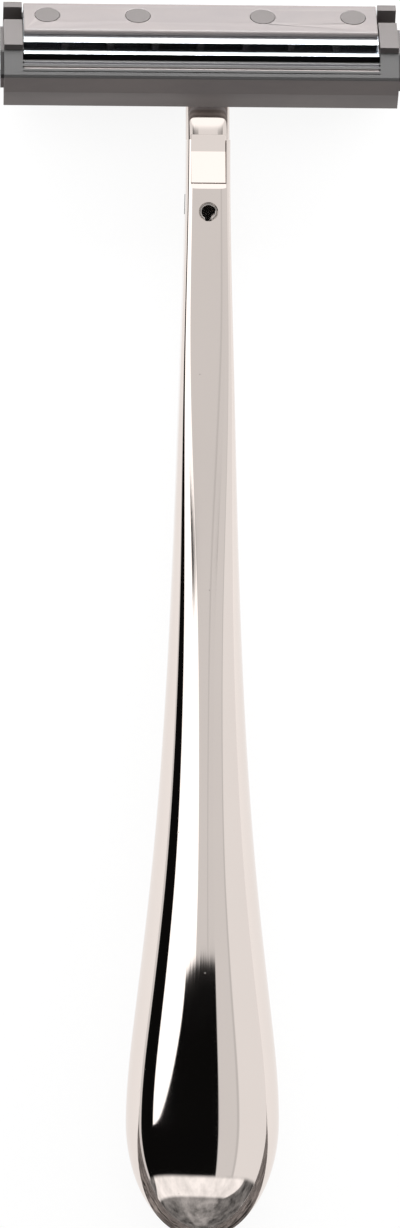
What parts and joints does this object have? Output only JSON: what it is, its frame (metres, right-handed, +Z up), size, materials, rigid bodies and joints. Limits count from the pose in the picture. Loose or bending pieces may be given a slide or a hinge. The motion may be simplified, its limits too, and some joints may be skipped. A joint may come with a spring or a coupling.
{
  "type": "cartridge razor",
  "caption": "Fixed-head wet-shaving razor: a slim chromed teardrop handle, a forked neck and a T-shaped rail that holds a slide-on twin-blade cartridge with ribbed guard.",
  "frame": {"origin": "centre of the bounding box in x and y, at the surface the razor lies on", "axes": "+X along the blades, +Y along the handle towards the head, +Z up out of the razor's front; the razor lies on its back"},
  "size_m": [0.0422, 0.13, 0.011],
  "materials": {
    "chrome_plate": "mirror polished chrome on a zinc casting",
    "spring_steel": "plain hardened spring steel",
    "blade_steel": "ground stainless blade strip",
    "guard_plastic": "moulded dark warm grey",
    "cap_plastic": "moulded dark warm grey, fine satin",
    "spacer_metal": "stamped strip"
  },
  "bodies": {
    "handle": {"handle": "chrome_plate", "neck_stem": "chrome_plate", "head_rail": "chrome_plate", "roll_pin": "spring_steel", "detent_bush": "spring_steel", "detent_spring": "spring_steel"},
    "cartridge": {"blade_platform": "guard_plastic", "seat_blade": "blade_steel", "blade_spacer": "spacer_metal", "cap_blade": "blade_steel", "cartridge_cap": "cap_plastic"},
    "plunger": {"detent_plunger": "spring_steel"}
  },
  "joints": [
    {"name": "cartridge_slide", "type": "slide", "parent": "handle", "child": "cartridge", "axis": [1, 0, 0], "range_m": [-0.041, 0.041]},
    {"name": "detent_press", "type": "slide", "parent": "handle", "child": "plunger", "axis": [0, -0.788, -0.6157], "range_m": [0, 0.0003], "stiffness_N_per_m": 400, "springref_m": -0.0005, "deforming": ["detent_spring"]}
  ]
}
